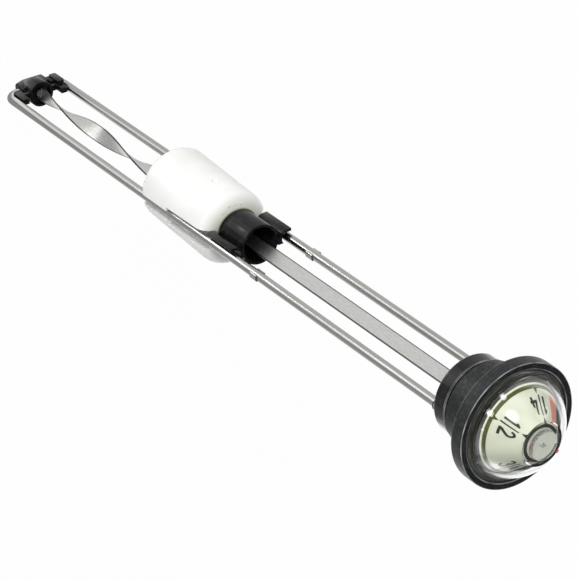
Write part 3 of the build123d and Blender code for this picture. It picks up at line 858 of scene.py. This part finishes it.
def makeLens():
    edgeRadius, underside, edgeTop = lens["edge"]
    beadRadius, beadTop = lens["bead"]
    ledgeRadius, ledgeTop = lens["ledge"]
    domeFoot, domeMiddle, domeTop = lens["dome"]
    insideTop, insideMiddle, insideFoot = lens["inside"]
    footRadius, faceRadius, faceHeight = lens["nub"]
    holeRadius, holeTop, holeBottom = lens["tipHole"]
    points = [  # radius, height, how far the corner is cut back
        (0, faceHeight, 0), (faceRadius, faceHeight, 0.35), (footRadius, domeTop[1], 0.12), (*domeTop, 0),
        *arcThrough(domeTop, domeMiddle, domeFoot, lens["arcSteps"]),
        (*domeFoot, 0.1), (ledgeRadius, ledgeTop, 0.28), (ledgeRadius, beadTop, 0.12),
        (beadRadius, beadTop, 0.25), (beadRadius, edgeTop, 0.1), (edgeRadius, edgeTop, 0.1),
        (edgeRadius, underside, 0.1), (insideFoot[0], underside, 0.1), (*insideFoot, 0),
        *arcThrough(insideFoot, insideMiddle, insideTop, lens["arcSteps"]),
        (*insideTop, 0), (holeRadius, holeBottom, 0), (holeRadius, holeTop, 0), (0, holeTop, 0),
    ]
    piece = spun("lens_turned", points, lens["steps"], closed=False)
    finish(piece, *finishes["lens"])
    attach(piece, "head")
    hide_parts("lens")


makeLens()
print("lens turned")


def addMark(radius, place, flattening):
    # a small round mark of a mould, half sunk; its place goes into the mesh, the object stays at the origin
    deselectAll()
    bpy.ops.mesh.primitive_uv_sphere_add(segments=16, ring_count=8, radius=radius * mm)
    mark = bpy.context.object
    mark.data.transform(Matrix.Translation(Vector(place) * mm) @ flattening)
    mark.data.update()
    bpy.ops.object.shade_smooth()
    return mark


# Grommet: the rubber sleeve with its soft mould edges and the pips of the mould vents
grommet = {  # radii and heights in mm
    "neck": (13.95, -11.4, 12.9),  # radius, lower end, radius of the bore
    "flange": (20.6, 4.8),  # radius, top
    "lip": (18.45, 4.1),  # radius of the opening over the lens's rim, its underside
    "pocket": (19.5, 1.0),  # radius of the room for the rim, its floor
    "steps": 200,  # round the axis
    "pips": ((98.0, -9.0), (89.0, -9.1), (80.5, -9.5)),  # angle round the neck, height
    "pipRadius": 0.36,
    "pipFlatness": 0.45,
}


def makeGrommet():
    neckRadius, neckEnd, boreRadius = grommet["neck"]
    flangeRadius, flangeTop = grommet["flange"]
    lipRadius, lipUnderside = grommet["lip"]
    pocketRadius, pocketFloor = grommet["pocket"]
    points = [  # radius, height, how far the corner is cut back
        (boreRadius, neckEnd, 0), (boreRadius, pocketFloor, 0), (pocketRadius, pocketFloor, 0),
        (pocketRadius, lipUnderside, 0), (lipRadius, lipUnderside, 0), (lipRadius, flangeTop, 0.3),
        (flangeRadius, flangeTop, 0.35), (flangeRadius, 0, 0.22), (neckRadius, 0, 0.25),
        (neckRadius, neckEnd, 0),
    ]
    moulding = [spun("grommet_moulded", points, grommet["steps"])]
    for angle, height in grommet["pips"]:
        turn = math.radians(angle)
        place = (neckRadius * math.cos(turn), neckRadius * math.sin(turn), height)
        flattening = Matrix.Rotation(turn, 4, "Z") @ Matrix.Diagonal((grommet["pipFlatness"], 1, 1, 1))
        moulding.append(addMark(grommet["pipRadius"], place, flattening))
    piece = joinAs(moulding, "grommet_moulded")
    finish(piece, *finishes["grommet"])
    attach(piece, "head")
    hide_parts("grommet")


makeGrommet()
print("grommet moulded")


# Float: the small raised marks of the mould on its upper end
floatMarks = {  # in mm
    "places": ((-5.24, 8.45, -142.83), (-2.74, 9.98, -142.95), (-0.72, 10.01, -142.8), (1.75, 9.6, -142.69)),
    "radius": 0.42,
    "flatness": 0.5,
}


def makeFloatMarks():
    flattening = Matrix.Diagonal((1, 1, floatMarks["flatness"], 1))
    marks = [addMark(floatMarks["radius"], place, flattening) for place in floatMarks["places"]]
    piece = joinAs(marks, "float_marks")
    finish(piece, *finishes["float"])
    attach(piece, "float_unit")


makeFloatMarks()
print("float marked")


# Dial numerals, printed on the cone with their tops toward the centre
numerals = {
    "labels": (  # name, digits left and right of the stroke, angle, middle radius
        ("numeral_quarter", "1", "4", 69.3, 9.75 * mm),
        ("numeral_half", "1", "2", 140.8, 9.8 * mm),
        ("numeral_three_quarters", "3", "4", 229.5, 10.1 * mm),
        ("numeral_full", "F", "", 306.0, 9.95 * mm),
    ),
    "height": 3.7 * mm,
    "width": 2.1 * mm,
    "pen": 0.62 * mm,
    "gap": 1.95 * mm,  # from the fraction's stroke to a digit's middle
    "narrowGap": 1.6 * mm,  # the same for a one
    "slash": ((-0.22 * mm, -2.15 * mm), (0.22 * mm, 2.15 * mm)),
    "slashPen": 0.4 * mm,
    "bowSteps": 14,
    "step": 0.4 * mm,  # a stroke is cut this fine, so that it follows the cone
    "mitre": 0.7,  # at a bend a stroke widens by at most 1 / this, so that its corner doesn't spike
    "lift": 0.03 * mm,
    "thickness": 0.05 * mm,
}


def bow(middle, reach, start, end):
    count = numerals["bowSteps"]
    turns = [math.radians(start + (end - start) * i / count) for i in range(count + 1)]
    return [(middle[0] + reach[0] * math.cos(t), middle[1] + reach[1] * math.sin(t)) for t in turns]


# each digit is a few pen strokes in a box from -1 to 1 both ways
digits = {
    "1": (((-0.45, 0.5), (0.12, 0.86)), ((0.2, 1), (0.2, -1))),
    "2": (bow((0, 0.38), (0.76, 0.5), 172, -28) + [(-0.72, -0.72)], ((-1, -0.87), (1, -0.87))),
    "3": (bow((-0.05, 0.46), (0.74, 0.42), 165, -88), bow((-0.02, -0.42), (0.78, 0.46), 88, -165)),
    "4": (((0.1, 1), (-0.72, -0.42)), ((-1, -0.45), (1, -0.45)), ((0.42, 0.2), (0.42, -1))),
    "F": (((-0.7, 1), (-0.7, -1)), ((-0.95, 0.86), (0.9, 0.86)), ((-0.7, 0.05), (0.65, 0.05))),
}


def penStroke(points, pen):
    line = [Vector(points[0])]
    for point in points[1:]:
        run = Vector(point) - line[-1]
        pieces = max(1, math.ceil(run.length / numerals["step"]))
        line += [line[-1] + run * (i / pieces) for i in range(1, pieces + 1)]
    deselectAll()
    last = len(line) - 1
    bpy.ops.mesh.primitive_grid_add(x_subdivisions=last, y_subdivisions=1)
    stroke = bpy.context.object
    for i, place in enumerate(line):
        before = (place - line[i - 1]).normalized() if i else (line[1] - place).normalized()
        after = (line[i + 1] - place).normalized() if i < last else before
        across = (before + after).orthogonal().normalized()
        reach = across * pen / 2 / max(numerals["mitre"], abs(across.dot(before.orthogonal())))
        stroke.data.vertices[i].co = (*(place - reach), 0)
        stroke.data.vertices[last + 1 + i].co = (*(place + reach), 0)
    return stroke


def drawDigit(character, middle):
    width, height = numerals["width"] / 2, numerals["height"] / 2
    strokes = []
    for points in digits[character]:
        placed = [(middle + x * width, y * height) for x, y in points]
        strokes.append(penStroke(placed, numerals["pen"]))
    return strokes


def layOnCone(piece, angle, radius):
    for vertex in piece.data.vertices:  # the line of text follows the circle, its tops toward the centre
        turn = math.radians(angle) + vertex.co.x / radius
        reach = radius - vertex.co.y
        above = Vector((reach * math.cos(turn), reach * math.sin(turn), cadHigh.z))
        face = nodes["dial"].ray_cast(above, Vector((0, 0, -1)))[1]
        vertex.co = (above.x, above.y, face.z + numerals["lift"])
    onlyThis(piece)
    bpy.ops.object.modifier_add(type="SOLIDIFY")
    film = piece.modifiers[-1]
    film.thickness = numerals["thickness"]
    film.offset = 1.0
    bpy.ops.object.modifier_apply(modifier=film.name)


def makeNumerals():
    for name, left, right, angle, radius in numerals["labels"]:
        if right:
            leftGap = numerals["narrowGap"] if left == "1" else numerals["gap"]
            strokes = drawDigit(left, -leftGap) + drawDigit(right, numerals["gap"])
            strokes.append(penStroke(numerals["slash"], numerals["slashPen"]))
        else:
            strokes = drawDigit(left, 0)
        label = joinAs(strokes, name)
        layOnCone(label, angle, radius)
        finish(label, *finishes["dial_track"])
        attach(label, "dial_unit")


makeNumerals()
print("numerals printed")
